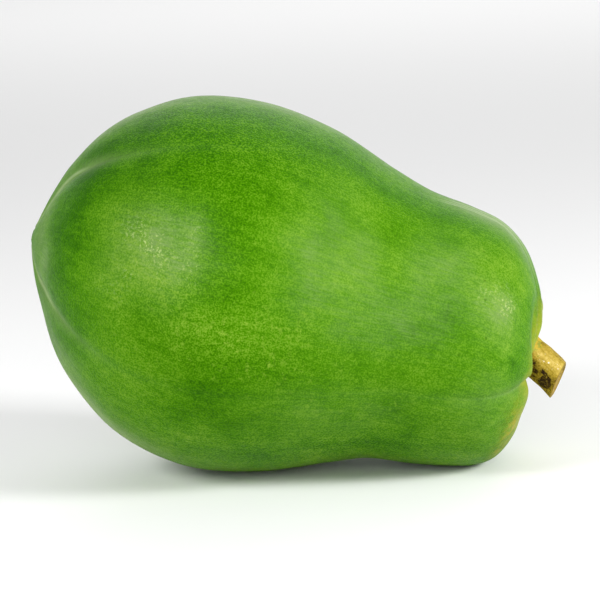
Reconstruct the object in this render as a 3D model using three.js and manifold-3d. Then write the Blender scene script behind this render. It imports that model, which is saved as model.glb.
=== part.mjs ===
// A green papaya lying on its side with a cut stub of stem, in millimetres, +Z up.
// The fruit is one solid: a pear-shaped body with five shallow lobes that gather in a puckered
// blossom tip at -X and fold into a stem hollow at +X. The stem is a second solid, standing in a
// plain hole in the floor of that hollow. The fruit rests on two small flats, belly and neck.
import * as THREE from "three";
import { mergeVertices } from "three/addons/utils/BufferGeometryUtils.js";
import Module from "manifold-3d";

const wasm = await Module();
wasm.setup();

// ---- driving dimensions ----
const LEAN = THREE.MathUtils.degToRad(15.25); // the long axis falls from the tip to the stem end
const REST_TRIM = 0.5; // how far the resting flats are pressed into the round skin
const TABLE_MARGIN = 1.5; // the table's size over the fruit's
const MERGE_DISTANCE = 1e-3;
const AROUND = 72; // facets round the fruit
const STEPS = 3; // rings from one outline station to the next

// The fruit's outline, one row for each station from the blossom tip, over the shoulder, to the
// floor of the stem hollow: distance along the fruit, radius over the lobes, rise of the middle,
// and depth of the five grooves between the lobes.
const OUTLINE = [
  [1.6, 0, 0.4, 0],
  [0.5, 3.4, 0.4, 1.2],
  [1.4, 6.8, 0.5, 2.1],
  [5.2, 18.2, 2.0, 2.8],
  [10.5, 29.7, 3.6, 2.7],
  [20.5, 46.1, 2.9, 2.0],
  [31.5, 57.0, 2.0, 0.9],
  [52.5, 69.9, 0.6, 0.3],
  [81.4, 75.0, -0.8, 0.12],
  [110, 70.6, -0.8, 0.1],
  [136.5, 60.9, -0.7, 0.15],
  [152, 55.6, -0.3, 0.2],
  [170, 53.2, -0.5, 0.3],
  [183.7, 50.3, -1.0, 0.5],
  [194.2, 45.2, -3.4, 1.0],
  [202.6, 36.2, -6.5, 1.7],
  [207.2, 25.8, -5.4, 2.3],
  [206.4, 17.6, -0.4, 2.0],
  [202.2, 12.6, 2.6, 1.2],
  [198.2, 9.6, 3.2, 0.4],
  [197.2, 0, 3.4, 0],
];
// The five grooves, one row for each of some outline stations: the station's number, and each
// groove's place in degrees round the fruit, from the front (-Y) towards the top.
// The lobe that faces the front is the widest of the five.
const GROOVES = [
  [0, -52, 62, 128, 188, 250],
  [3, -47, 63, 128, 186, 246],
  [4, -36, 60, 124, 182, 242],
  [5, -29, 53, 119, 178, 238],
  [7, -27, 50.5, 113, 172, 236],
  [9, -24, 63, 122, 182, 243],
  [12, -20, 86, 137, 193, 253],
  [15, -17.5, 75, 140, 201, 261],
  [16, -19, 22, 136, 202, 262],
  [17, -26, 4, 134, 202, 262],
  [20, -28, 2, 133, 202, 262],
];
const GROOVE_SHARPNESS = 2.6;
// How far each lobe stops short of the stem hollow's rim, counted from the front lobe upwards, and
// how far that leans towards the lobe's upper groove. The lowest row's lobe reaches further.
const SHORTFALLS = [
  [2.7, 1.7],
  [1.1, 1],
  [0, 1],
  [0, 1],
  [-0.8, 4],
];
const SHORTFALL_STATIONS = [14.6, 15.5, 17, 20]; // where it begins, is full, starts to fade and ends
const LENGTH = 207;
const TIP_RISE = 0.4; // height of the point that the grooves run out from, at the blossom tip
const HOLLOW_RISE = 3.2; // and in the stem hollow
const OVAL = 0.4; // the body is this much longer or shorter in radius than a true round
const OVAL_TURN = 0.6;

// The stem: its middle line as root, knee and cut end, and its radius from root to cut.
const STEM_ROOT = new THREE.Vector3(190, 0.5, 4.2);
const STEM_KNEE = new THREE.Vector3(204, 0, 3.4);
const STEM_CUT = new THREE.Vector3(219.0, -4, -6.8);
const STEM_AROUND = 40;
// Distance along the middle line as a share, and radius.
const STEM_OUTLINE = [
  [0, 0],
  [0, 6.6],
  [0.06, 7.3],
  [0.2, 8.3],
  [0.3, 8.6],
  [0.42, 8.1],
  [0.56, 7.7],
  [0.7, 7.5],
  [0.84, 7.4],
  [0.95, 7.4],
  [0.99, 7.3],
  [1, 7.0],
  [0.995, 5.6],
  [0.97, 4.6],
  [0.965, 0],
];
const STEM_ANGLES = 5; // soft corners round the stem
const STEM_ANGLE_DEPTH = 0.25;
const CUT_SLANT = -0.46; // how much further the upper side of the cut reaches, for each mm of radius
const SLANT_FROM = 0.5; // shares of the middle line between which the rings turn to the slant
const SLANT_TO = 0.95;
const SEAT_GAP = 0.3; // clearance of the stem in its hole

// ---- solids ----
function toSolid(geometry) {
  const bare = geometry.clone();
  bare.deleteAttribute("normal");
  bare.deleteAttribute("uv");
  const merged = mergeVertices(bare, MERGE_DISTANCE);
  return new wasm.Manifold(
    new wasm.Mesh({
      numProp: 3,
      vertProperties: new Float32Array(merged.attributes.position.array),
      triVerts: new Uint32Array(merged.index.array),
    }),
  );
}

function toGeometry(solid) {
  const mesh = solid.getMesh();
  const geometry = new THREE.BufferGeometry();
  geometry.setAttribute("position", new THREE.BufferAttribute(mesh.vertProperties, 3));
  geometry.setIndex(new THREE.BufferAttribute(mesh.triVerts, 1));
  geometry.computeVertexNormals();
  return geometry;
}

// Moves every vertex of a lathed blank to place(station number, angle). The angle runs backwards
// round the blank, because the fruit's frame is the mirror of the lathe's.
function shapeLathe(profile, segments, place) {
  const blank = new THREE.LatheGeometry(profile, segments);
  const position = blank.attributes.position;
  for (let i = 0; i < position.count; i++) {
    const ring = Math.floor(i / profile.length);
    const angle = (-(ring % segments) / segments) * 2 * Math.PI;
    const point = place(i % profile.length, angle);
    position.setXYZ(i, point.x, point.y, point.z);
  }
  return blank;
}

// ---- the fruit ----
// The places of the five grooves at a station, in degrees.
function groovesAt(station) {
  const next = Math.max(1, GROOVES.findIndex((row) => row[0] >= station));
  const [before, after] = [GROOVES[next - 1], GROOVES[next]];
  const share = (station - before[0]) / (after[0] - before[0]);
  return before.slice(1).map((angle, i) => THREE.MathUtils.lerp(angle, after[i + 1], share));
}

// The lobe's number, and the share of the way across it from its lower groove to its upper one.
// Angles are seen from the line between the points that the grooves run out from.
function lobeAt(angle, ring) {
  const above = ring.rise - THREE.MathUtils.lerp(TIP_RISE, HOLLOW_RISE, ring.along / LENGTH);
  const seen = Math.atan2(above + ring.radius * Math.sin(angle), ring.radius * Math.cos(angle));
  const first = ring.grooves[0];
  const place = THREE.MathUtils.euclideanModulo(THREE.MathUtils.radToDeg(seen) - first, 360) + first;
  const next = ring.grooves.findIndex((groove) => groove > place);
  const right = next < 0 ? first + 360 : ring.grooves[next];
  const lobe = next < 0 ? ring.grooves.length - 1 : next - 1;
  const across = (place - ring.grooves[lobe]) / (right - ring.grooves[lobe]);
  return [lobe, across];
}

// How far a point of the fruit is drawn back from the stem end.
function shortfall(lobe, across, station) {
  const [amount, skew] = SHORTFALLS[lobe];
  const [begin, full, fade, end] = SHORTFALL_STATIONS;
  const along = THREE.MathUtils.smoothstep(station, begin, full);
  const left = 1 - THREE.MathUtils.smoothstep(station, fade, end);
  return amount * Math.sin(Math.PI * across ** skew) ** 2 * along * left;
}

function outlineRings() {
  const curve = new THREE.CatmullRomCurve3(
    OUTLINE.map(([along, radius, rise]) => new THREE.Vector3(along, radius, rise)),
    false,
    "centripetal",
  );
  const count = (OUTLINE.length - 1) * STEPS;
  return Array.from({ length: count + 1 }, (_, i) => {
    const point = curve.getPoint(i / count);
    const tangent = curve.getTangent(i / count);
    const station = Math.min(Math.floor(i / STEPS), OUTLINE.length - 2);
    const share = i / STEPS - station;
    const depth = THREE.MathUtils.lerp(OUTLINE[station][3], OUTLINE[station + 1][3], share);
    const length = Math.hypot(tangent.x, tangent.y);
    return {
      along: point.x,
      radius: i === 0 || i === count ? 0 : point.y,
      rise: point.z,
      depth,
      station: i / STEPS,
      grooves: groovesAt(i / STEPS),
      outAlong: -tangent.y / length,
      outRadius: tangent.x / length,
    };
  });
}

function fruitBlank() {
  const rings = outlineRings();
  const profile = rings.map((ring) => new THREE.Vector2(ring.radius, ring.along));
  return shapeLathe(profile, AROUND, (station, angle) => {
    const ring = rings[station];
    const [lobe, across] = lobeAt(angle, ring);
    const sunk = ring.depth * (1 - Math.sin(Math.PI * across)) ** GROOVE_SHARPNESS;
    const full = ring.radius === 0 ? 0 : 1;
    const oval = OVAL * Math.cos(2 * (angle - OVAL_TURN)) * Math.min(1, ring.radius / OUTLINE[3][1]);
    const radius = Math.max(0, ring.radius - full * (sunk * ring.outRadius - oval));
    return new THREE.Vector3(
      ring.along - full * sunk * ring.outAlong - shortfall(lobe, across, ring.station),
      -radius * Math.cos(angle),
      ring.rise + radius * Math.sin(angle),
    );
  });
}

// ---- the stem ----
function stemBlank(grow = 0) {
  const path = new THREE.QuadraticBezierCurve3(STEM_ROOT, STEM_KNEE, STEM_CUT);
  const profile = STEM_OUTLINE.map(([share, radius]) => new THREE.Vector2(radius, share));
  return shapeLathe(profile, STEM_AROUND, (station, angle) => {
    const [share, plainRadius] = STEM_OUTLINE[station];
    const ahead = path.getTangent(share);
    const side = new THREE.Vector3(0, -1, 0).addScaledVector(ahead, ahead.y).normalize();
    const upper = new THREE.Vector3().crossVectors(side, ahead).normalize();
    const corner = STEM_ANGLE_DEPTH * Math.cos(STEM_ANGLES * angle) * (plainRadius / STEM_OUTLINE[2][1]);
    const radius = plainRadius === 0 ? 0 : plainRadius + corner + grow;
    const slanted = THREE.MathUtils.smoothstep(share, SLANT_FROM, SLANT_TO);
    const slant = CUT_SLANT * radius * Math.sin(angle) * slanted;
    return path
      .getPoint(share)
      .addScaledVector(side, radius * Math.cos(angle))
      .addScaledVector(upper, radius * Math.sin(angle))
      .addScaledVector(ahead, slant - (share === 0 ? grow : 0));
  });
}

// ---- the part ----
const fruitMaterial = new THREE.MeshStandardMaterial({ color: 0x62992a, roughness: 0.45, metalness: 0 });
const stemMaterial = new THREE.MeshStandardMaterial({ color: 0xa78a3a, roughness: 0.8, metalness: 0 });

const fruit = new THREE.Mesh(fruitBlank(), fruitMaterial);
fruit.name = "fruit";
const stem = new THREE.Mesh(stemBlank(), stemMaterial);
stem.name = "stem";

// The fruit lies in a leaning group, set down so that the table is at zero.
const papaya = new THREE.Group();
const lying = new THREE.Group();
lying.rotation.y = LEAN;
lying.add(fruit, stem);
papaya.add(lying);
papaya.updateMatrixWorld(true);
const spread = new THREE.Box3().setFromObject(papaya, true);
const middle = spread.getCenter(new THREE.Vector3());
lying.position.set(-middle.x, -middle.y, -spread.min.z - REST_TRIM);
papaya.updateMatrixWorld(true);

// The table presses the two resting flats, and the stem's root takes its hole out of the fruit.
const size = spread.getSize(new THREE.Vector3()).multiplyScalar(TABLE_MARGIN);
const table = new THREE.BoxGeometry(size.x, size.y, size.z).translate(0, 0, -size.z / 2);
table.applyMatrix4(lying.matrixWorld.clone().invert());
const whole = toSolid(fruit.geometry);
fruit.geometry = toGeometry(whole.subtract(toSolid(table)).subtract(toSolid(stemBlank(SEAT_GAP))));

export default papaya;
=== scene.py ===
# A green papaya lying on its side, with a cut stub of stem. Metres, +Z up, -Y the front.
import math
import random
import bmesh
import bpy
from mathutils import Matrix, Vector, noise


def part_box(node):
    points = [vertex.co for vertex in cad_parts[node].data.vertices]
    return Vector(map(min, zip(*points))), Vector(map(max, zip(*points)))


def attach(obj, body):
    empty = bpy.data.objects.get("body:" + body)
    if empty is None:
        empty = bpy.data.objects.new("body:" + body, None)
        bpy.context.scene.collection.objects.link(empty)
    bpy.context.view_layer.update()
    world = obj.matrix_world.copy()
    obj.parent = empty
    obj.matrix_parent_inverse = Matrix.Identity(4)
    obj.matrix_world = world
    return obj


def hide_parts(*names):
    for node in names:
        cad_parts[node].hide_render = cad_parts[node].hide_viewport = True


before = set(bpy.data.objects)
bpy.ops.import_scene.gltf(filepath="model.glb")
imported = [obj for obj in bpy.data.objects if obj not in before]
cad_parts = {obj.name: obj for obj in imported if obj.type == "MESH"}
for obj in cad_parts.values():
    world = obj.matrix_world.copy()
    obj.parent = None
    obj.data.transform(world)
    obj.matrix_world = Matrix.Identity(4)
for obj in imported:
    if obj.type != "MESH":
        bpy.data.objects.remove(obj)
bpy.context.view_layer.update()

scene = bpy.context.scene
mm = 0.001

print("camera")
cameraView = {
    "azimuth": 5.0,   # degrees round the fruit from the front
    "elevation": 10.0,
    "roll": -2.5,
    "distance": 1.0,
    "aim": Vector((0.0012, -0.0011, 0.0682)),
    "lens": 149.9,
    "sensor": 36.0,
}


# The camera's own right, up and back directions, as the columns of a matrix.
def cameraTurn(view):
    azimuth, elevation = math.radians(view["azimuth"]), math.radians(view["elevation"])
    level = math.cos(elevation)
    back = Vector((math.sin(azimuth) * level, -math.cos(azimuth) * level, math.sin(elevation)))
    right = Vector((math.cos(azimuth), math.sin(azimuth), 0))
    turn = Matrix((right, back.cross(right), back)).transposed()
    return turn @ Matrix.Rotation(math.radians(view["roll"]), 3, "Z")


def makeCamera(view):
    data = bpy.data.cameras.new("camera")
    data.lens = view["lens"]
    data.sensor_width = view["sensor"]
    camera = bpy.data.objects.new("camera", data)
    scene.collection.objects.link(camera)
    turn = cameraTurn(view)
    place = view["aim"] + turn.col[2] * view["distance"]
    camera.matrix_world = Matrix.Translation(place) @ turn.to_4x4()
    scene.camera = camera


makeCamera(cameraView)
scene.view_settings.view_transform = "Standard"

print("studio")
studio = {
    "surroundings": (0.28, 1.25),      # strength in front and behind
    "surroundingsTurn": (0.50, 1.0),  # how far back the first fades into the second
    "floorSize": 16.0,
    "floorColor": (0.86, 0.86, 0.86, 1),
    "floorRoughness": 0.9,
    "floorShine": 0.2,
}
# where each lamp stands, what it faces, its side and its watts
softboxes = {
    "leftSoftbox": ((-0.83, -0.73, 0.75), (0, 0, 0.07), 0.5, 10.3),
    "rightSoftbox": ((1.10, -0.42, 0.62), (0, 0, 0.07), 0.4, 17.0),
    "frontSoftbox": ((0.1, -1.6, 0.5), (0, 0, 0.07), 0.8, 8.5),
    "floorWash": ((0.3, 3.6, 2.4), (0.3, 3.6, 0), 4.0, 80.0),
}


# A dim room in front, and a bright screen behind.
def makeSurroundings(strengths, turn):
    world = bpy.data.worlds.new("surroundings")
    world.use_nodes = True
    tree = world.node_tree
    direction = tree.nodes.new("ShaderNodeTexCoord")
    parts = tree.nodes.new("ShaderNodeSeparateXYZ")
    fade = tree.nodes.new("ShaderNodeMapRange")
    fade.interpolation_type = "SMOOTHSTEP"
    for socket, value in zip(("From Min", "From Max", "To Min", "To Max"), (*turn, *strengths)):
        fade.inputs[socket].default_value = value
    background = tree.nodes["Background"]
    background.inputs["Color"].default_value = (1, 1, 1, 1)
    tree.links.new(direction.outputs["Generated"], parts.inputs[0])
    tree.links.new(parts.outputs["Y"], fade.inputs["Value"])
    tree.links.new(fade.outputs["Result"], background.inputs["Strength"])
    scene.world = world


def newMaterial(name):
    material = bpy.data.materials.new(name)
    material.use_nodes = True
    return material, material.node_tree.nodes["Principled BSDF"]


def makeFloor(settings):
    bm = bmesh.new()
    bmesh.ops.create_grid(bm, x_segments=1, y_segments=1, size=settings["floorSize"] / 2)
    mesh = bpy.data.meshes.new("floor")
    bm.to_mesh(mesh)
    bm.free()
    floor = bpy.data.objects.new("floor", mesh)
    scene.collection.objects.link(floor)
    material, shader = newMaterial("palePaper")
    shader.inputs["Base Color"].default_value = settings["floorColor"]
    shader.inputs["Roughness"].default_value = settings["floorRoughness"]
    shader.inputs["Specular IOR Level"].default_value = settings["floorShine"]
    mesh.materials.append(material)


def makeSoftbox(name, place, aim, side, watts):
    data = bpy.data.lights.new(name, "AREA")
    data.size = side
    data.energy = watts
    box = bpy.data.objects.new(name, data)
    scene.collection.objects.link(box)
    box.location = place
    box.rotation_mode = "QUATERNION"
    box.rotation_quaternion = (Vector(place) - Vector(aim)).to_track_quat("Z", "Y")


makeSurroundings(studio["surroundings"], studio["surroundingsTurn"])
makeFloor(studio)
for name, settings in softboxes.items():
    makeSoftbox(name, *settings)

print("fruit shape")
fruitShape = {
    "lean": math.radians(15.25),  # the long axis falls from the tip to the stem end
    "around": 360,                # faces round the fruit
    "along": 268,                 # faces from the tip to the stem hollow
    "endShare": 0.35,             # how far the rings gather at the two ends, from 0 to 1
    # stations from the blossom tip to the floor of the stem hollow, in mm: distance along,
    # radius over the lobes, rise of the middle, depth of the five grooves
    "outline": [
        (1.6, 0, 0.4, 0), (0.5, 3.4, 0.4, 1.2), (1.4, 6.8, 0.5, 2.1), (5.2, 18.2, 2.0, 2.8),
        (10.5, 29.7, 3.6, 2.7), (20.5, 46.1, 2.9, 2.0), (31.5, 57.0, 2.0, 0.9),
        (52.5, 69.9, 0.6, 0.3), (81.4, 75.0, -0.8, 0.12), (110, 70.6, -0.8, 0.1),
        (136.5, 60.9, -0.7, 0.15), (152, 55.6, -0.3, 0.2), (170, 53.2, -0.5, 0.3),
        (183.7, 50.3, -1.0, 0.5), (194.2, 45.2, -3.4, 1.0), (202.6, 36.2, -6.5, 1.7),
        (207.2, 25.8, -5.4, 2.3), (206.4, 17.6, -0.4, 2.0), (202.2, 12.6, 2.6, 1.2),
        (198.2, 9.6, 3.2, 0.4), (197.2, 0, 3.4, 0),
    ],
    # station number, and where the five grooves are there, in degrees from the front to the top
    "grooves": [
        (0, -52, 62, 128, 188, 250), (3, -47, 63, 128, 186, 246), (4, -36, 60, 124, 182, 242),
        (5, -29, 53, 119, 178, 238), (7, -27, 50.5, 113, 172, 236), (9, -24, 63, 122, 182, 243),
        (12, -20, 86, 137, 193, 253), (15, -17.5, 75, 140, 201, 261), (16, -19, 22, 136, 202, 262),
        (17, -26, 4, 134, 202, 262), (20, -28, 2, 133, 202, 262),
    ],
    # how far each lobe stops short of the stem hollow's rim, from the front lobe upwards, how far
    # that leans towards its upper groove, and the stations it begins, fills, fades and ends at
    "shortfalls": ((2.7, 1.7), (1.1, 1), (0, 1), (0, 1), (-0.8, 4)),
    "shortfallStations": (14.6, 15.5, 17, 20),
    "length": 207,                # from the tip to the hollow's rim, in mm
    "grooveEnds": (0.4, 3.2),     # heights of the two points that the grooves run out from
    "sharpness": 2.6,             # the higher, the narrower the grooves
    "oval": 0.4,                  # how far the fruit is from round, in mm
    "ovalTurn": 0.6,              # where it is widest, in radians from the front to the top
    "ovalFrom": 18.2,             # the radius from which it is fully oval
}
skinRelief = {
    # wavelength and depth in mm of the skin's soft dents, from broad to fine
    "dents": ((55, 0.35), (18, 0.12), (6, 0.045)),
    "creaseDepth": 0.5,     # of the fine crease along the bottom of a groove
    "creaseWidth": 1.2,
    "fullGroove": 2,        # the groove depth from which its crease is at its fullest
    "grooveReach": 6,       # how far to each side of a groove its distance is told to the skin
    "grooveWidth": 5,
    "puckerDepth": 0.22,    # fine folds that gather at both ends
    "puckers": 30,
    "puckerLength": 14,
    "puckerReach": (26, 236),    # where they end at the tip, and begin at the stem
    "puckerFrom": 6,        # the radius from which they are at their fullest
    # how the skin's patches wander: the wavelength in mm, how far in mm along and in degrees
    # round, and the two places of the noise that this is read from
    "wander": (22, 6, (17, 61)),
}


# A smooth curve through the stations: the place and direction at a station number, and the
# groove depth there.
def outlineAt(stations, position):
    points = [Vector(station[:3]) for station in stations]
    points = [2 * points[0] - points[1], *points, 2 * points[-1] - points[-2]]
    first = min(int(position), len(stations) - 2)
    share = position - first
    before, start, end, after = points[first:first + 4]
    gaps = [math.sqrt((b - a).length) for a, b in ((before, start), (start, end), (end, after))]
    startSlope = (start - before) / gaps[0] - (end - before) / (gaps[0] + gaps[1])
    startSlope = (startSlope + (end - start) / gaps[1]) * gaps[1]
    endSlope = (end - start) / gaps[1] - (after - start) / (gaps[1] + gaps[2])
    endSlope = (endSlope + (after - end) / gaps[2]) * gaps[1]
    square = 3 * (end - start) - 2 * startSlope - endSlope
    cube = 2 * (start - end) + startSlope + endSlope
    place = start + share * (startSlope + share * (square + share * cube))
    slope = startSlope + share * (2 * square + share * 3 * cube)
    depth = stations[first][3] * (1 - share) + stations[first + 1][3] * share
    return place, slope, depth


# Rings from end to end, evenly spaced on the curve apart from the gathering at its ends. The
# length is that of the skin from the first station.
def outlineRings(stations, count, endShare, samplesEach=40):
    last = len(stations) - 1
    steps = samplesEach * last
    samples = [outlineAt(stations, i * last / steps)[0] for i in range(steps + 1)]
    lengths = [0.0]
    for a, b in zip(samples, samples[1:]):
        lengths.append(lengths[-1] + (b - a).length)
    measure = [(1 - endShare) * length / lengths[-1] + endShare * i / steps
               for i, length in enumerate(lengths)]
    rings, i = [], 0
    for ring in range(count + 1):
        while i < steps - 1 and measure[i + 1] < ring / count:
            i += 1
        part = min(1, (ring / count - measure[i]) / (measure[i + 1] - measure[i]))
        length = lengths[i] + part * (lengths[i + 1] - lengths[i])
        station = (i + part) * last / steps
        place, slope, groove = outlineAt(stations, station)
        rings.append({"place": place, "slope": slope, "groove": groove, "length": length,
                      "station": station})
    return rings


# Where the grooves are at a station, on smooth curves through the rows.
def groovesAt(rows, station):
    first = max(i for i, row in enumerate(rows[:-1]) if row[0] <= station)
    before, start, end, after = (rows[max(0, min(len(rows) - 1, first + i))] for i in (-1, 0, 1, 2))
    gap = end[0] - start[0]
    share = (station - start[0]) / gap
    startPull = share * (1 - share) ** 2 * gap / (end[0] - before[0])
    endPull = share ** 2 * (share - 1) * gap / (after[0] - start[0])
    rise = share ** 2 * (3 - 2 * share)
    return [b + (c - b) * rise + (c - a) * startPull + (d - b) * endPull
            for a, b, c, d in zip(before[1:], start[1:], end[1:], after[1:])]


# Lobe number, share of the way across it, and degrees from the nearest groove, above or below.
# The grooves run out from one point at each end, so angles are seen from the line between them.
def lobePlace(shape, grooves, angle, place):
    tipHeight, hollowHeight = shape["grooveEnds"]
    above = place.z - tipHeight - (hollowHeight - tipHeight) * place.x / shape["length"]
    seen = math.degrees(math.atan2(above + place.y * math.sin(angle), place.y * math.cos(angle)))
    seen = (seen - grooves[0]) % 360 + grooves[0]
    left = max(groove for groove in grooves if groove <= seen)
    right = min((groove for groove in grooves if groove > seen), default=grooves[0] + 360)
    across = (seen - left) / (right - left)
    return grooves.index(left), across, min(seen - left, seen - right, key=abs)


def smoothShare(value, low, high):
    share = max(0, min(1, (value - low) / (high - low)))
    return share * share * (3 - 2 * share)


# How far a point of the fruit is drawn back from the stem end.
def shortfallAt(shape, lobe, across, station):
    amount, lean = shape["shortfalls"][lobe]
    begin, full, fade, end = shape["shortfallStations"]
    along = smoothShare(station, begin, full) * (1 - smoothShare(station, fade, end))
    return amount * math.sin(math.pi * across ** lean) ** 2 * along


# The rings' places spun round the long axis, with each vertex's ring number kept on it.
def spinRings(rings, around, layerName="ring"):
    bm = bmesh.new()
    ringLayer = bm.verts.layers.int.new(layerName)
    chain = []
    for number, ring in enumerate(rings):
        vert = bm.verts.new((ring["place"].x, -ring["place"].y, 0))
        vert[ringLayer] = number
        chain.append(vert)
    for a, b in zip(chain, chain[1:]):
        bm.edges.new((a, b))
    bmesh.ops.spin(bm, geom=bm.verts[:] + bm.edges[:], cent=(0, 0, 0), axis=(1, 0, 0),
                   angle=-2 * math.pi, steps=around, use_merge=True)
    bmesh.ops.remove_doubles(bm, verts=bm.verts[:], dist=1e-4)
    bmesh.ops.recalc_face_normals(bm, faces=bm.faces[:])
    return bm, bm.verts.layers.int[layerName]


def softDents(place, dents):
    depth = 0.0
    for wavelength, height in dents:
        depth += height * (0.5 + 0.5 * noise.noise(place / wavelength * 2))
    return depth


# Fine folds that run in towards the tip and the stem hollow.
def pucker(relief, skinLength, angle, radius):
    tipEnd, stemStart = relief["puckerReach"]
    share = max(0, 1 - skinLength / tipEnd, min(1, (skinLength - stemStart) / tipEnd))
    turns = relief["puckers"] / (2 * math.pi)
    ripple = noise.noise(Vector((math.cos(angle) * turns, math.sin(angle) * turns,
                                 skinLength / relief["puckerLength"])))
    return share * min(1, radius / relief["puckerFrom"]) * relief["puckerDepth"] * (0.5 + ripple)


print("skin patches")
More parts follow.
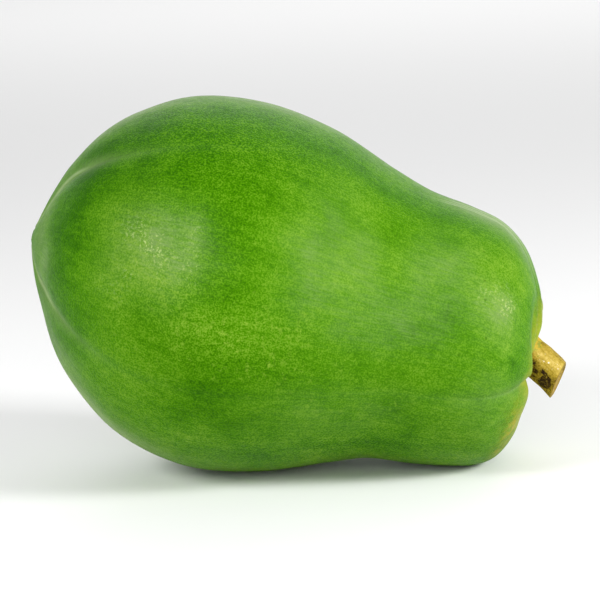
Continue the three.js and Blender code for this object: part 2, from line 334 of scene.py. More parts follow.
# Soft patches of skin: length of skin from the tip in mm, degrees round from the front, the
# reach each way, and how strongly.
skinPatches = {
    "tone": (    # paler above zero, darker below
        (44, 15, 11, 26, -0.75), (46, -12, 11, 13, -0.5), (66, 60, 36, 9, -0.8),
        (30, -47, 20, 7, -0.8), (92, 8, 17, 12, 0.6), (109, 18, 8, 6, 0.4), (72, 22, 9, 9, 0.3),
        (124, 24, 10, 18, -0.35), (126, 8, 8, 6, -0.1), (126, -31, 15, 11, -0.5),
        (151, -14, 12, 5, -0.35), (147, 31, 8, 12, 0.4), (166, 56, 13, 8, 0.2),
        (172, 16, 12, 11, 0.35), (166, 38, 9, 8, -0.3), (160, 66, 24, 5, -0.45),
        (184, 45, 4, 14, -0.2), (229, 29, 12, 13, 0.7), (222, 52, 14, 9, 0.35),
        (204, 36, 11, 13, 0.3), (232, -16, 14, 14, -0.1), (236, -40, 9, 9, 0.1),
        # the row at 160 mm and -72 degrees pales the whole underside: partly a paler belly, partly
        # painted light against the shade beneath it
        (201, -26, 4, 6, -0.6), (209, -38, 4, 7, -0.6), (160, -72, 90, 11, 0.9),
        (56, 42, 12, 14, -1.1), (54, 20, 9, 14, -0.6), (74, 54, 16, 10, -0.2),
        (118, 74, 42, 6, -0.35), (118, 50, 34, 10, -0.1), (190, 66, 20, 8, -0.35),
        (60, -25, 10, 16, -0.4), (120, -22, 12, 6, -0.35), (215, 15, 6, 12, -0.35),
        (168, 42, 9, 12, 0.2), (178, 34, 12, 12, 0.2), (90, 13, 5, 6, 0.25), (127, 18, 6, 6, 0.25),
        (234, 0, 8, 10, 0.25), (212, 52, 5, 5, 0.3),
        (194, -48, 20, 3, -0.5), (153, -48, 9, 3, -0.4), (111, -57, 13, 8, 0.45),
        (140, 0, 20, 6, 0.25), (131, 49, 4, 3, -0.3), (146, 47, 6, 2, -0.3),
        (161, 45, 6, 2, -0.2), (205, 52, 4, 3, -0.35), (244, 13, 5, 3, -0.6),
        (148, 59, 14, 4, -0.35), (195, 75, 16, 6, -0.25), (110, 72, 24, 6, -0.25),
        (76, 68, 12, 6, -0.25), (88, 42, 14, 8, -0.25), (113, 27, 7, 5, -0.3), (108, 12, 7, 5, 0.2),
        (130, 11, 7, 6, -0.3), (146, 5, 7, 5, -0.25), (104, -7, 10, 4, -0.3), (75, -16, 18, 6, -0.2),
        (62, -36, 10, 10, -0.2), (97, -30, 10, 7, 0.3), (122, -25, 12, 5, -0.2),
        (178, -17, 12, 4, -0.2), (194, -28, 5, 7, -0.25), (214, 19, 7, 6, -0.35),
        (196, 12, 8, 6, -0.2), (203, -52, 12, 4, -0.25), (236, 58, 12, 16, 0.35),
        (64, 15, 7, 9, -0.3), (64, 36, 7, 6, -0.25), (66, 78, 12, 5, -0.3), (121, 80, 14, 5, -0.2),
        (114, -29, 8, 6, 0.3), (130, -22, 7, 6, -0.2), (130, -44, 10, 6, 0.25),
        (249, 8, 7, 10, -0.35), (80, -60, 22, 9, 0.35), (155, 73, 12, 5, -0.2),
        (112, 98, 55, 10, -0.2), (82, -67, 24, 7, 0.3), (157, 41, 10, 8, 0.25), (110, 40, 24, 7, -0.2),
        (84, 37, 10, 6, -0.2), (156, -2, 8, 6, -0.2), (240, 17, 6, 6, 0.2),
    ),
    "waxAndSheen": (     # grey bloom: partly real wax, partly painted highlights on the belly and neck and painted rim reflections
        (21, 8, 9, 45, 1.0), (35, -14, 6, 12, 0.9), (28, 47, 14, 4, 0.9), (38, -34, 10, 4, 0.7),
        (105, 18, 14, 8, 0.9), (111, 17, 5, 5, 0.6), (32, 66, 12, 8, 0.8), (38, -50, 14, 7, 0.6),
        (228, 80, 14, 7, 0.7), (176, 33, 9, 8, 0.5), (232, 74, 12, 7, 0.5),
        (92, 15, 17, 14, 0.9), (91, 17, 8, 7, 0.5), (206, 38, 12, 14, 0.8), (190, 14, 24, 13, 0.9),
        (158, 27, 12, 18, 0.8), (229, 28, 14, 11, 0.8), (236, -15, 17, 20, 0.5),
        (180, -27, 26, 12, 0.4), (110, 96, 60, 9, 1.1), (215, 86, 16, 7, 0.8),
        (22, -70, 12, 30, 0.6), (80, -62, 30, 9, 0.7), (231, 30, 6, 8, 0.9), (40, 84, 24, 12, 0.5),
    ),
    "flecks": (  # pale yellow
        (96, 12, 22, 14, 0.8), (120, -4, 40, 9, 1.0), (150, 6, 20, 10, 0.7),
        (90, -22, 30, 12, 0.5), (185, -25, 40, 10, 0.6), (229, 29, 9, 9, 0.8),
        (150, -12, 30, 7, 0.8),
    ),
    "highlightCrackle": (     # fine pale sparkle of painted highlight, in the glossiest places
        (93, 17, 12, 8, 1.2), (111, 17, 5, 5, 1.3), (230, 31, 8, 9, 1.2), (84, 2, 8, 6, 0.5),
    ),
    "ripe": (    # yellow and brown beside the stem hollow
        (256, -32, 7, 18, 0.6), (250, -55, 5, 10, 0.5), (262, 60, 6, 60, 0.2),
    ),
    "ridgeGlints": (   # thin pale lines on the shoulder, painted highlights along its ridges
        (213, 86, 12, 9, 0.9), (231, 82, 14, 10, 1.0), (246, 70, 9, 12, 0.7),
    ),
    "stipple": (     # coarser above zero, smoother below
        (112, 60, 50, 20, 0.6), (105, 20, 32, 20, 0.3), (130, -5, 30, 12, 0.3),
        (165, 35, 26, 22, -0.25), (180, -58, 60, 15, 0.9),
    ),
    "lenticels": (   # dark dots
        (212, 20, 34, 45, 0.9),
    ),
    "frostRimSheen": (   # the palest wax, in streaks, partly a painted rim reflection along the top and bottom edges and the tip's flanks
        (112, 101, 55, 13, 0.8), (58, 93, 20, 13, 0.8), (80, -65, 24, 9, 0.7), (226, 91, 20, 10, 0.75),
        (56, -48, 14, 8, 0.35), (30, -12, 6, 14, 0.35), (28, 30, 6, 14, 0.2),
    ),
    "scratches": (   # thin, pale and lengthwise
        (172, -33, 30, 7, 1.0), (190, -47, 40, 7, 0.7), (212, 84, 22, 9, 0.8),
        (110, 80, 50, 10, 0.6), (225, -20, 14, 12, 0.5),
    ),
}
hiddenSide = {
    "seed": 11,
    "patches": 44,
    "kinds": ("tone", "tone", "waxAndSheen", "flecks", "tone", "scratches"),
    "toneStrengths": (-0.7, -0.5, 0.35, 0.5),
    "strength": (0.4, 0.9),     # of every other kind
    "length": (25, 245),
    "angle": (108, 262),
    "lengthReach": (9, 30),
    "angleReach": (7, 16),
}


# The far side gets patches of the same kinds as the near one.
def addHiddenPatches(patches, side):
    draw = random.Random(side["seed"])
    filled = {kind: list(rows) for kind, rows in patches.items()}
    for number in range(side["patches"]):
        kind = side["kinds"][number % len(side["kinds"])]
        tinted = kind == "tone"
        strength = draw.choice(side["toneStrengths"]) if tinted else draw.uniform(*side["strength"])
        place = [draw.uniform(*side[name]) for name in ("length", "angle", "lengthReach", "angleReach")]
        filled[kind].append((*place, strength))
    return filled


# How strongly patches of one kind show at a length of skin and an angle. Each fades from its
# middle, and is left out where it is more than a few reaches away.
def patchAmount(rows, skinLength, degrees, edge=2.5):
    amount = 0.0
    for length, angle, lengthReach, angleReach, strength in rows:
        aside = abs((degrees - angle + 180) % 360 - 180) / angleReach
        away = abs(skinLength - length) / lengthReach
        if aside < edge and away < edge:
            amount += strength * math.exp(-aside * aside - away * away)
    return amount


# How far the patches wander at a place, along the skin and round it.
def wanderAt(place, wander):
    wavelength, reach, apart = wander
    return [reach * noise.noise(place / wavelength + Vector((0, 0, away))) for away in apart]


# Where a point of the lobed fruit lies, and which way is in from there.
def fruitPoint(shape, ring, lobe, across, angle, full):
    place, slope = ring["place"], ring["slope"]
    fall = math.hypot(slope.x, slope.y)
    outAlong, outRadius = -slope.y / fall, slope.x / fall
    sunk = ring["groove"] * (1 - math.sin(math.pi * across)) ** shape["sharpness"]
    oval = shape["oval"] * math.cos(2 * (angle - shape["ovalTurn"]))
    oval *= min(1, place.y / shape["ovalFrom"])
    radius = max(0, place.y - full * (sunk * outRadius - oval))
    back = full * sunk * outAlong + shortfallAt(shape, lobe, across, ring["station"])
    smooth = Vector((place.x - back, -radius * math.cos(angle), place.z + radius * math.sin(angle)))
    inward = Vector((-outAlong, outRadius * math.cos(angle), -outRadius * math.sin(angle)))
    return smooth, inward


# The fruit on its own axis, with each vertex's smooth place and its dent beside it, and with the
# attributes that the skin's material reads.
def shapeFruit(shape, relief, patches):
    rings = outlineRings(shape["outline"], shape["along"], shape["endShare"])
    for ring in rings:
        ring["grooves"] = groovesAt(shape["grooves"], ring["station"])
    bm, ringLayer = spinRings(rings, shape["around"])
    mapLayer = bm.verts.layers.float_vector.new("skinMap")
    floats = {name: bm.verts.layers.float.new(name) for name in ("grooveSide", "grooveNear", *patches)}
    reach = relief["grooveReach"]
    lobed = {}
    for vert in bm.verts:
        ring = rings[vert[ringLayer]]
        place, length = ring["place"], ring["length"]
        angle = math.atan2(vert.co.z, -vert.co.y)
        full = 0 if place.y < 1e-3 else 1     # no lobes at the tip and the floor of the hollow
        lobe, across, degreesOff = lobePlace(shape, ring["grooves"], angle, place)
        smooth, inward = fruitPoint(shape, ring, lobe, across, angle, full)
        offGroove = math.radians(degreesOff) * place.y
        deepness = min(1, ring["groove"] / relief["fullGroove"])
        crease = math.exp(-(offGroove / relief["creaseWidth"]) ** 2) * deepness
        depth = softDents(smooth, relief["dents"]) + full * crease * relief["creaseDepth"]
        depth += full * pucker(relief, length, angle, place.y)
        lobed[vert] = (smooth, inward * depth)
        vert[mapLayer] = Vector((length * mm, math.cos(angle), math.sin(angle)))
        vert[floats["grooveSide"]] = max(-reach, min(reach, offGroove))
        near = math.exp(-(offGroove / relief["grooveWidth"]) ** 2)
        vert[floats["grooveNear"]] = full * deepness * near
        onward, aside = wanderAt(smooth, relief["wander"])
        for kind, rows in patches.items():
            vert[floats[kind]] = patchAmount(rows, length + onward, math.degrees(angle) + aside)
    return bm, lobed


# Turns the lobed fruit as it lies, and finds the place where it fits its CAD solid.
def lyingMatrix(shape, places, node):
    low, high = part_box(node)
    turn = Matrix.Rotation(shape["lean"], 4, "Y") @ Matrix.Scale(mm, 4)
    turned = [turn @ place for place in places]
    shift = Vector((
        (low.x + high.x - min(p.x for p in turned) - max(p.x for p in turned)) / 2,
        (low.y + high.y - min(p.y for p in turned) - max(p.y for p in turned)) / 2,
        high.z - max(p.z for p in turned),
    ))
    return Matrix.Translation(shift) @ turn


def finishPiece(bm, name, material, nodeName):
    mesh = bpy.data.meshes.new(name)
    bm.to_mesh(mesh)
    bm.free()
    mesh.shade_smooth()
    mesh.materials.append(material)
    piece = bpy.data.objects.new(name, mesh)
    scene.collection.objects.link(piece)
    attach(piece, "root")
    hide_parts(nodeName)


allPatches = addHiddenPatches(skinPatches, hiddenSide)
fruitBody, lobedPlaces = shapeFruit(fruitShape, skinRelief, allPatches)
lying = lyingMatrix(fruitShape, [smooth for smooth, dent in lobedPlaces.values()], "fruit")
for vert, (smooth, dent) in lobedPlaces.items():
    vert.co = lying @ (smooth + dent)
    vert.co.z = max(0, vert.co.z)   # the belly and the neck lie flat on the table

print("skin")
skinFinish = {
    # colour of the skin from its darkest tone to its palest
    "tones": ((0.0, (0.019, 0.097, 0.0005, 1)), (0.3, (0.039, 0.153, 0.0005, 1)),
              (0.5, (0.057, 0.191, 0.002, 1)), (0.75, (0.095, 0.241, 0.008, 1)),
              (1.0, (0.154, 0.300, 0.022, 1))),
    # the bloom colour is grey wax, and also paints highlights, rim reflections and the sheen in the
    # grooves
    "bloomAndSheen": (0.137, 0.236, 0.066, 1),
    "fleck": (0.190, 0.330, 0.030, 1),
    # the crackle colour is the sparkle of painted highlights
    "highlightCrackle": (0.330, 0.430, 0.150, 1),
    # the frost colour is the palest wax, and also a painted rim reflection
    "frostRimSheen": (0.360, 0.450, 0.240, 1),
    # the lenticel colour is also the painted shade in the tip's creases
    "lenticel": (0.020, 0.085, 0.002, 1),
    # the crease colour paints the thin highlight lines in the grooves and on the shoulder
    "crease": (0.320, 0.410, 0.210, 1),
    "hollow": (0.260, 0.310, 0.030, 1),
    "ripe": (0.420, 0.300, 0.030, 1),
    "scar": (0.110, 0.085, 0.020, 1),
    # patterns run evenly, or follow the skin: how they are scaled along it, and round it
    "ways": {"fibres": (1.0, 0.55), "fineFibres": (1.0, 0.7), "scratches": (0.9, 0.8)},
    # patterns that shift the tone: way, size in mm, detail, roughness, and by how much
    "clouds": (
        ("even", 45, 2, 0.55, 0.35), ("even", 11, 3, 0.6, 0.5), ("even", 4.2, 3, 0.6, 0.36),
        ("fibres", 22, 3, 0.6, 0.45), ("fineFibres", 10, 2, 0.6, 0.35),
    ),
    # patterns of marks: way, size in mm, detail, roughness, the values that they rise between,
    # and how strong they are below and above them
    "marks": {
        "stipple": ("even", 0.66, 1, 0.55, 0.36, 0.64, 0, 1),
        "grain": ("even", 1.6, 2, 0.6, 0.34, 0.66, 0, 1),
        "mist": ("even", 12, 3, 0.6, 0.25, 0.75, 0.4, 1),
        "streaks": ("fineFibres", 8, 3, 0.6, 0.35, 0.65, 0.45, 1),
        "clusters": ("even", 8, 2, 0.55, 0.42, 0.66, 0, 1),
        "flecks": ("even", 2.1, 3, 0.7, 0.52, 0.70, 0, 1),
        "highlightCrackle": ("even", 1.1, 2, 0.7, 0.52, 0.66, 0, 0.85),
        "scratches": ("scratches", 12, 4, 0.75, 0.60, 0.70, 0, 1),
        "breaks": ("even", 6, 2, 0.55, 0.45, 0.62, 0, 1),
        "ripe": ("even", 3.5, 3, 0.7, 0.40, 0.60, 0.3, 1),
    },
    "tone": (0.42, 0.5),          # how far patches move it, and where it is without them
    "stippling": (0.7, 0.6),      # how far patches raise it, and what it is without them
    "grainShift": 0.17,
    "stippleShift": 0.55,
    # how strongly each layer covers the skin at its fullest
    "cover": {"bloomAndSheen": 0.75, "frostRimSheen": 0.7, "flecks": 0.75, "scratches": 0.7, "lenticels": 0.55,
              "ridgeGlints": 0.9, "hollow": 0.85},
    "highlightCrackleClusters": (0.7, 0.3),    # how far clusters raise the painted highlight sparkle, and what it is without
    # dark dots: cells to the metre, where a dot fades out, and the shades of the cells with one
    "lenticels": {"cells": 290.0, "fade": (0.10, 0.22), "few": (0.80, 0.86)},
    "strayLenticels": 0.15,       # how strong the dots are outside their patch
    # of the painted highlight lines and the painted sheen and shade in the grooves: the higher, the
    # narrower
    "lineSharpness": 3.2,
    "valleySheenSharpness": 0.05,
    "ridgeGlintSharpness": 2.2,
    "shutShadeSharpness": 3.0,
    "ridgeGlints": (-2.8, 0.0, 3.2),    # mm beside the groove
    # how the creases change along the skin: between which metres from the tip, and from which
    # value to which
    "along": {
        "lip": (0.03, 0.06, 1.4, 0.0),       # mm from the groove to each of its two lines of painted highlight
        "valleySheen": (0.06, 0.12, 0.75, 0.3),
        "line": (0.036, 0.052, 0.6, 0.06),
        "lastLipGlint": (0.19, 0.23, 0.0, 0.08),
        # where the painted shade in the tip's creases fades out
        "shutShade": (0.009, 0.014, 0.8, 0.0),
    },
    # where the yellow of the hollow begins and the scar of the tip ends, in metres from the tip
    "hollowEdge": (0.258, 0.272),
    "scarEdge": (0.0065, 0.0095),
    "ragged": (4, 3, 0.55, 0.010),     # of their edges: size in mm, detail, roughness, metres
    "dull": (3, 4, 0.7),               # size in mm, detail, roughness
    "dullSpread": (0.3, 0.7),
    "roughness": (0.36, 0.50),
    "ior": 1.15,
    "waxTint": (1.0, 1.0, 0.1, 1),
    "bumps": {"stipple": 0.8, "dull": 0.9, "scratches": -0.6, "lenticels": -0.3},
    "bumpStrength": 0.6,
    "bumpDistance": 0.00012,
}


def addNode(tree, kind, inputs=None, **settings):
    node = tree.nodes.new(kind)
    for name, value in settings.items():
        setattr(node, name, value)
    for socket, value in (inputs or {}).items():
        if isinstance(value, bpy.types.NodeSocket):
            tree.links.new(value, node.inputs[socket])
        else:
            node.inputs[socket].default_value = value
    return node


# A noise with patches of this size in mm.
def noiseNode(tree, place, size, detail, roughness, distortion=0.0):
    node = addNode(tree, "ShaderNodeTexNoise", {
        "Vector": place, "Scale": 1 / (size * mm), "Detail": detail,
        "Roughness": roughness, "Distortion": distortion})
    return node.outputs["Fac"]


def spread(tree, value, low, high, toLow=0.0, toHigh=1.0):
    node = addNode(tree, "ShaderNodeMapRange", {
        "Value": value, "From Min": low, "From Max": high, "To Min": toLow, "To Max": toHigh},
        interpolation_type="SMOOTHSTEP")
    return node.outputs["Result"]


def calculate(tree, operation, a, b=0.0, c=0.0):
    return addNode(tree, "ShaderNodeMath", {0: a, 1: b, 2: c}, operation=operation).outputs[0]


def product(tree, *values):
    result = values[0]
    for value in values[1:]:
        result = calculate(tree, "MULTIPLY", result, value)
    return result


def blendColor(tree, share, first, second):
    node = addNode(tree, "ShaderNodeMix", {0: share, 6: first, 7: second}, data_type="RGBA")
    return node.outputs[2]


def rampColor(tree, value, stops):
    node = addNode(tree, "ShaderNodeValToRGB", {"Fac": value})
    ramp = node.color_ramp
    while len(ramp.elements) < len(stops):
        ramp.elements.new(0.5)
    for element, (position, color) in zip(ramp.elements, stops):
        element.position = position
        element.color = color
    return node.outputs["Color"]


def attribute(tree, name, output="Fac"):
    return addNode(tree, "ShaderNodeAttribute", attribute_name=name).outputs[output]


def centred(tree, value):
    return calculate(tree, "SUBTRACT", value, 0.5)


# Sums tone shifts: each is a noise about 0.5, and how far it moves the tone.
def shiftTone(tree, tone, *shifts):
    for value, reach in shifts:
        tone = calculate(tree, "ADD", tone, product(tree, centred(tree, value), reach))
    return tone


def addBump(tree, shader, height, finish):
    bump = addNode(tree, "ShaderNodeBump", {"Strength": finish["bumpStrength"], "Height": height,
                                            "Distance": finish["bumpDistance"]})
    tree.links.new(bump.outputs["Normal"], shader.inputs["Normal"])


# A line where the offset is nil, with soft edges: the sharper, the narrower.
def bell(tree, offset, sharpness):
    return calculate(tree, "EXPONENT", product(tree, offset, offset, -sharpness))


def scaled(tree, amount, factor, start):
    return calculate(tree, "MULTIPLY_ADD", amount, factor, start)


# The coordinates of each way that a pattern runs, from a map of the surface's length and angle.
def patternPlaces(tree, surfaceMap, ways):
    places = {"even": addNode(tree, "ShaderNodeTexCoord").outputs["Object"]}
    for way, (along, around) in ways.items():
        node = addNode(tree, "ShaderNodeVectorMath", {0: surfaceMap, 1: (along, around, around)},
                       operation="MULTIPLY")
        places[way] = node.outputs[0]
    return places


def patternMarks(tree, places, rows):
    marks = {}
    for name, (way, size, detail, roughness, *rise) in rows.items():
        marks[name] = spread(tree, noiseNode(tree, places[way], size, detail, roughness), *rise)
    return marks


# Round dots in a few of the cells.
def sparseDots(tree, place, dots):
    cells = addNode(tree, "ShaderNodeTexVoronoi", {"Vector": place, "Scale": dots["cells"]})
    disc = spread(tree, cells.outputs["Distance"], *dots["fade"], 1.0, 0.0)
    shade = addNode(tree, "ShaderNodeSeparateColor", {0: cells.outputs["Color"]}).outputs[0]
    return product(tree, disc, spread(tree, shade, *dots["few"]))


# The bare skin: patches, clouds, mottling, fibres that run lengthwise and fine stippling.
def bareSkin(tree, finish, places, marks):
    stippled = scaled(tree, attribute(tree, "stipple"), *finish["stippling"])
    clouds = [(noiseNode(tree, places[way], *pattern), shift)
              for way, *pattern, shift in finish["clouds"]]
    tone = shiftTone(
        tree, scaled(tree, attribute(tree, "tone"), *finish["tone"]), *clouds,
        (marks["grain"], product(tree, stippled, finish["grainShift"])),
        (marks["stipple"], product(tree, stippled, finish["stippleShift"])))
    return rampColor(tree, tone, finish["tones"])


# Grey bloom and pale frost: partly real wax, partly painted highlights and painted rim reflections.
# This and the functions below give layers: how much of the skin each covers, and the name of its
# colour.
def waxAndSheenLayers(tree, finish, marks):
    cover = finish["cover"]
    bloomAndSheen = product(tree, attribute(tree, "waxAndSheen"), marks["mist"], marks["streaks"], cover["bloomAndSheen"])
    frostRimSheen = product(tree, attribute(tree, "frostRimSheen"), marks["streaks"], cover["frostRimSheen"])
    return [(bloomAndSheen, "bloomAndSheen"), (frostRimSheen, "frostRimSheen")]


# Pale flecks in clusters, and a fine crackle of painted highlight where the skin is glossiest.
def fleckLayers(tree, finish, marks):
    flecks = product(tree, marks["flecks"], marks["clusters"], attribute(tree, "flecks"),
                     finish["cover"]["flecks"])
    highlightCrackle = product(tree, marks["highlightCrackle"], attribute(tree, "highlightCrackle"),
                      scaled(tree, marks["clusters"], *finish["highlightCrackleClusters"]))
    return [(flecks, "fleck"), (highlightCrackle, "highlightCrackle")]


# The creases get a pale painted sheen, with thin pale lines of painted highlight. At the tip they get a
# dark line of painted shade, and lines of painted highlight run beside them on the shoulder.
def creaseLayers(tree, finish, marks, skinLength):
    along = {name: spread(tree, skinLength, *row) for name, row in finish["along"].items()}
    grooveSide = attribute(tree, "grooveSide")
    near = attribute(tree, "grooveNear")
    layers = []
    # thin lines of painted highlight beside the grooves on the shoulder
    for away in finish["ridgeGlints"]:
        ridgeGlint = bell(tree, calculate(tree, "ADD", grooveSide, away), finish["ridgeGlintSharpness"])
        ridgeGlint = product(tree, ridgeGlint, attribute(tree, "ridgeGlints"), marks["streaks"], finish["cover"]["ridgeGlints"])
        layers.append((ridgeGlint, "crease"))
    # a pale painted sheen down each groove, in the bloom's colour
    valleySheen = bell(tree, grooveSide, finish["valleySheenSharpness"])
    layers.append((product(tree, valleySheen, near, along["valleySheen"]), "bloomAndSheen"))
    # thin pale lines of painted highlight along the lips of the grooves
    lip = calculate(tree, "SUBTRACT", calculate(tree, "ABSOLUTE", grooveSide), along["lip"])
    line = bell(tree, lip, finish["lineSharpness"])
    faint = calculate(tree, "ADD", along["line"], along["lastLipGlint"])
    layers.append((product(tree, line, near, faint), "crease"))
    # a dark line of painted shade down the creases near the tip
    creaseShade = bell(tree, grooveSide, finish["shutShadeSharpness"])
    layers.append((product(tree, creaseShade, near, along["shutShade"]), "lenticel"))
    return layers


# The skin turns yellow into the stem hollow, and a dry scar sits at the blossom tip.
def endLayers(tree, finish, place, marks, skinLength):
    *pattern, reach = finish["ragged"]
    ragged = product(tree, noiseNode(tree, place, *pattern), reach)
    raggedLength = calculate(tree, "ADD", skinLength, ragged)
    hollow = product(tree, spread(tree, raggedLength, *finish["hollowEdge"]), finish["cover"]["hollow"])
    ripe = product(tree, marks["ripe"], attribute(tree, "ripe"))
    scar = spread(tree, raggedLength, *finish["scarEdge"], 1.0, 0.0)
    return [(hollow, "hollow"), (ripe, "ripe"), (scar, "scar")]


def makeSkin(finish):
    material, shader = newMaterial("greenSkin")
    tree = material.node_tree
    skinMap = attribute(tree, "skinMap", "Vector")
    skinLength = addNode(tree, "ShaderNodeSeparateXYZ", {0: skinMap}).outputs["X"]
    places = patternPlaces(tree, skinMap, finish["ways"])
    marks = patternMarks(tree, places, finish["marks"])
    cover = finish["cover"]

    scratches = product(tree, marks["scratches"], marks["breaks"], attribute(tree, "scratches"),
                        cover["scratches"])
    lenticels = product(
        tree, sparseDots(tree, places["even"], finish["lenticels"]),
        calculate(tree, "ADD", attribute(tree, "lenticels"), finish["strayLenticels"]))
    layers = [
        *waxAndSheenLayers(tree, finish, marks),
        *fleckLayers(tree, finish, marks),
        (scratches, "fleck"),
        (product(tree, lenticels, cover["lenticels"]), "lenticel"),
        *creaseLayers(tree, finish, marks, skinLength),
        *endLayers(tree, finish, places["even"], marks, skinLength),
    ]
    color = bareSkin(tree, finish, places, marks)
    for share, name in layers:
        color = blendColor(tree, share, color, finish[name])
    tree.links.new(color, shader.inputs["Base Color"])

    dull = noiseNode(tree, places["even"], *finish["dull"])
    roughness = spread(tree, dull, *finish["dullSpread"], *finish["roughness"])
    tree.links.new(roughness, shader.inputs["Roughness"])
    bumps = finish["bumps"]
    height = shiftTone(tree, product(tree, marks["stipple"], bumps["stipple"]), (dull, bumps["dull"]),
                       (scratches, bumps["scratches"]), (lenticels, bumps["lenticels"]))
    addBump(tree, shader, height, finish)
    shader.inputs["IOR"].default_value = finish["ior"]
    shader.inputs["Specular Tint"].default_value = finish["waxTint"]
    return material


finishPiece(fruitBody, "fruitSkin", makeSkin(skinFinish), "fruit")

print("stem shape")
stemShape = {
    "root": Vector((190, 0.5, 4.2)),
    "knee": Vector((204, 0, 3.4)),
    "cut": Vector((219.0, -4, -6.8)),
    "length": 32.0,       # of the middle line in mm
    "around": 150,
    "along": 110,
    "endShare": 0.3,
    # stations from the root to the cut: mm along the middle line, radius, no rise and no groove
    "outline": [
        (0, 0, 0, 0), (0, 6.6, 0, 0), (1.9, 7.3, 0, 0), (6.4, 8.3, 0, 0), (9.6, 8.7, 0, 0),
        (13.4, 8.2, 0, 0), (17.9, 7.7, 0, 0), (22.4, 7.5, 0, 0), (26.9, 7.35, 0, 0),
        (30.6, 7.35, 0, 0), (31.7, 7.3, 0, 0), (31.9, 7.05, 0, 0), (31.75, 5.9, 0, 0),
        (31.0, 4.6, 0, 0), (30.9, 0, 0, 0),
    ],
    "corners": 5,
    "cornerDepth": 0.25,
    "slant": -0.46,       # how much further the upper side of the cut reaches, per mm of radius
    "slantReach": (16, 30.4),
    "rim": (31.5, 31.8),  # where the bark turns to cut wood
    "cutFrom": 30,        # the cut face is what lies past this place and within this radius
    "cutRadius": 5.9,
    "cutHollow": 0.35,
}
stemRelief = {
    "furrows": 0.35,      # depth in mm
    "furrowsAround": 3.2, # the higher, the more of them
    "furrowLength": 11,
    "knobs": 0.22,        # depth in mm
    "knobSize": 3.5,
    "knobRing": 7,        # the stem's radius, as the knobs are spaced on it
    "fullFrom": 5,        # the radius from which the bark is at its roughest
}
# mm along the middle line, degrees round from the front, the reach each way, and how strongly
stemPatches = {
    "burnt": (
        (29.2, -32, 2.2, 18, 1.4), (30.7, -37, 1.2, 13, 0.9), (28.4, -54, 1.8, 9, 0.9),
        (29.2, -18, 1.8, 9, 0.8), (32.0, 6, 1.3, 12, 0.9), (26.2, -9, 1.8, 7, 0.9),
        (23.6, -26, 1.5, 9, 1.0), (21.8, -42, 1.4, 9, 0.9), (20.5, -8, 1.6, 9, 0.8),
        (24.6, -48, 1.2, 7, 0.7),
        (25.0, -84, 9, 7, 0.8), (27, 130, 5, 16, 0.8), (22, 200, 4, 22, 0.7),
    ),
    "gilded": (
        (25, 32, 6, 20, 0.9), (29, 50, 3, 18, 0.6), (20, 28, 2, 10, 0.6), (26, 230, 6, 25, 0.6),
    ),
    "speckled": (
        (29.5, 78, 4, 13, 0.9), (21, -25, 4, 35, 1.0), (26, -62, 7, 16, 0.8), (26, 170, 9, 40, 0.6),
        (33, -38, 2.2, 40, 0.8),
    ),
    # white dots of painted glint on the gilded side
    "glintDots": (
        (25, 26, 3.2, 13, 1.2), (27.5, 30, 2, 9, 0.9),
    ),
    "greened": (
        (17.5, 60, 3.2, 50, 1.0), (17.0, -20, 1.6, 60, 0.5), (16, 190, 2.5, 90, 0.8),
    ),
}


# The middle line's place and direction at a share of its length, and two directions across it.
def stemLine(shape, share):
    root, knee, cut = shape["root"], shape["knee"], shape["cut"]
    place = root * (1 - share) ** 2 + knee * 2 * share * (1 - share) + cut * share ** 2
    ahead = ((knee - root) * (1 - share) + (cut - knee) * share).normalized()
    side = (Vector((0, -1, 0)) + ahead * ahead.y).normalized()
    return place, ahead, side, side.cross(ahead)


# Furrows that run lengthwise, and small knobs, at a place on the bark.
def barkRelief(relief, along, angle):
    around, ring = relief["furrowsAround"], relief["knobRing"]
    furrow = noise.noise(Vector((math.cos(angle) * around, math.sin(angle) * around,
                                 along / relief["furrowLength"])))
    knob = noise.noise(Vector((math.cos(angle) * ring, math.sin(angle) * ring, along))
                       / relief["knobSize"])
    return furrow, knob


def shapeStem(shape, relief, patches):
    rings = outlineRings(shape["outline"], shape["along"], shape["endShare"])
    bm, ringLayer = spinRings(rings, shape["around"])
    mapLayer = bm.verts.layers.float_vector.new("stemMap")
    floats = {name: bm.verts.layers.float.new(name) for name in ("cutFace", "rim", *patches)}
    for vert in bm.verts:
        along, radius = rings[vert[ringLayer]]["place"][:2]
        angle = math.atan2(vert.co.z, -vert.co.y)
        onCut = along > shape["cutFrom"] and radius < shape["cutRadius"]
        furrow, knob = barkRelief(relief, along, angle)
        corner = shape["cornerDepth"] * math.cos(shape["corners"] * angle)
        sunken = relief["furrows"] * (0.5 - furrow) + relief["knobs"] * (0.5 - knob)
        radius = max(0, radius + (corner - sunken) * min(1, radius / relief["fullFrom"]))
        middle, ahead, side, upper = stemLine(shape, along / shape["length"])
        slant = shape["slant"] * radius * math.sin(angle) * smoothShare(along, *shape["slantReach"])
        hollow = shape["cutHollow"] * (0.5 + knob) if onCut else 0
        vert.co = (middle + side * radius * math.cos(angle) + upper * radius * math.sin(angle)
                   + ahead * (slant - hollow))
        vert[mapLayer] = Vector(((along + slant) * mm, math.cos(angle), math.sin(angle)))
        vert[floats["cutFace"]] = 1 if onCut else 0
        vert[floats["rim"]] = 0 if onCut else smoothShare(along, *shape["rim"])
        for kind, rows in patches.items():
            vert[floats[kind]] = patchAmount(rows, along + slant, math.degrees(angle))
    return bm


stemBody = shapeStem(stemShape, stemRelief, stemPatches)
bmesh.ops.transform(stemBody, matrix=lying, verts=stemBody.verts[:])

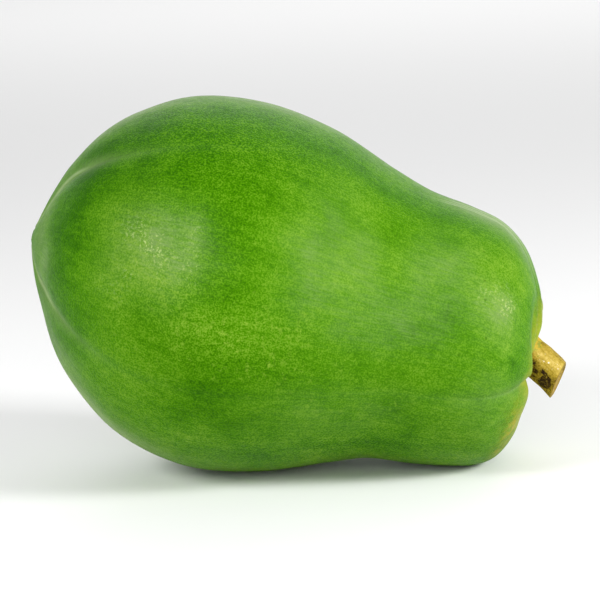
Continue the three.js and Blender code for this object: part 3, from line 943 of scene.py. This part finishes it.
print("stem bark")
stemFinish = {
    # from burnt bark to gilded bark
    "bark": ((0.0, (0.018, 0.006, 0.001, 1)), (0.3, (0.095, 0.055, 0.003, 1)),
             (0.55, (0.310, 0.215, 0.012, 1)), (0.8, (0.500, 0.360, 0.060, 1)),
             (1.0, (0.680, 0.520, 0.180, 1))),
    "green": (0.230, 0.300, 0.030, 1),
    "ochre": (0.560, 0.400, 0.030, 1),
    # the white of the painted glint dots
    "fleck": (0.800, 0.760, 0.620, 1),
    "rim": (0.210, 0.145, 0.014, 1),
    "wood": (0.340, 0.245, 0.050, 1),
    "pith": (0.250, 0.165, 0.050, 1),
    "ways": {"fibres": (0.25, 0.008)},
    # size in mm, detail and roughness, and the distortion of the cracks
    "fibres": (1.1, 3, 0.65),
    "blotches": (3.2, 4, 0.7),
    "grain": (0.9, 2, 0.7),
    "cracks": (2.8, 2, 0.6, 0.6),
    # patterns of marks, in the same order as the skin's
    "marks": {
        "speckles": ("even", 0.7, 2, 0.7, 0.46, 0.58),
        "ochre": ("even", 1.4, 2, 0.7, 0.44, 0.56),
    },
    "raggedBlotches": 2.4,        # how far each frays the edges of the patches
    "raggedFibres": 1.4,
    "burntEdge": (0.30, 0.75),
    "greenedEdge": (0.35, 0.85),
    "gilding": (0.28, 0.56),      # how far it raises the tone, and the tone without it
    "burning": 0.52,              # how far each of these moves the tone
    "speckling": 0.30,
    "cracking": 0.32,
    "crackEdge": (0.008, 0.03),
    "toneShifts": {"fibres": 0.55, "blotches": 0.35, "grain": 0.6},
    "cover": {"greened": 0.65, "dots": 0.9, "rim": 0.9},
    "dots": {"cells": 850.0, "fade": (0.20, 0.34), "few": (0.40, 0.44)},
    "pithEdge": (0.35, 0.65),
    "roughness": 0.62,
    "ior": 1.25,
    "bumps": {"fibres": 1.0, "blotches": 0.5, "grain": 0.35},
    "bumpStrength": 0.7,
    "bumpDistance": 0.0003,
}


# The bark's tone: fibres that run lengthwise, a gilded upper side, and burnt patches with cracks.
def bareBark(tree, finish, place, noises, marks, ragged):
    burnt = spread(tree, calculate(tree, "ADD", attribute(tree, "burnt"), ragged), *finish["burntEdge"])
    tone = scaled(tree, attribute(tree, "gilded"), *finish["gilding"])
    tone = calculate(tree, "SUBTRACT", tone, product(tree, burnt, finish["burning"]))
    shifts = finish["toneShifts"]
    tone = shiftTone(tree, tone, *((noises[name], shifts[name]) for name in shifts))
    cracks = calculate(tree, "ABSOLUTE", centred(tree, noiseNode(tree, place, *finish["cracks"])))
    cracks = spread(tree, cracks, *finish["crackEdge"], 1.0, 0.0)
    tone = calculate(tree, "ADD", tone, product(tree, burnt, cracks, finish["cracking"]))
    speckled = product(tree, marks["speckles"], attribute(tree, "speckled"), finish["speckling"])
    return rampColor(tree, calculate(tree, "SUBTRACT", tone, speckled), finish["bark"])


def makeBark(finish):
    material, shader = newMaterial("stemBark")
    tree = material.node_tree
    places = patternPlaces(tree, attribute(tree, "stemMap", "Vector"), finish["ways"])
    place = places["even"]
    marks = patternMarks(tree, places, finish["marks"])
    noises = {
        "fibres": noiseNode(tree, places["fibres"], *finish["fibres"]),
        "blotches": noiseNode(tree, place, *finish["blotches"]),
        "grain": noiseNode(tree, place, *finish["grain"]),
    }
    ragged = calculate(
        tree, "ADD", product(tree, centred(tree, noises["blotches"]), finish["raggedBlotches"]),
        product(tree, centred(tree, noises["fibres"]), finish["raggedFibres"]))
    cover = finish["cover"]
    color = bareBark(tree, finish, place, noises, marks, ragged)

    # green and ochre specks where the stem meets the fruit
    green = blendColor(tree, marks["ochre"], finish["green"], finish["ochre"])
    greened = calculate(tree, "ADD", attribute(tree, "greened"), ragged)
    greened = spread(tree, greened, *finish["greenedEdge"])
    color = blendColor(tree, product(tree, greened, cover["greened"]), color, green)

    # a few white dots on the gilded side, painted glints
    dots = product(tree, sparseDots(tree, place, finish["dots"]), attribute(tree, "glintDots"))
    color = blendColor(tree, product(tree, dots, cover["dots"]), color, finish["fleck"])

    # the pale cut rim, and the wood and pith of the cut itself
    color = blendColor(tree, product(tree, attribute(tree, "rim"), cover["rim"]), color, finish["rim"])
    pith = spread(tree, noises["grain"], *finish["pithEdge"])
    wood = blendColor(tree, pith, finish["wood"], finish["pith"])
    color = blendColor(tree, attribute(tree, "cutFace"), color, wood)
    tree.links.new(color, shader.inputs["Base Color"])

    bumps = finish["bumps"]
    height = shiftTone(tree, product(tree, noises["fibres"], bumps["fibres"]),
                       (noises["blotches"], bumps["blotches"]), (noises["grain"], bumps["grain"]))
    addBump(tree, shader, height, finish)
    shader.inputs["Roughness"].default_value = finish["roughness"]
    shader.inputs["IOR"].default_value = finish["ior"]
    return material


finishPiece(stemBody, "stemStub", makeBark(stemFinish), "stem")
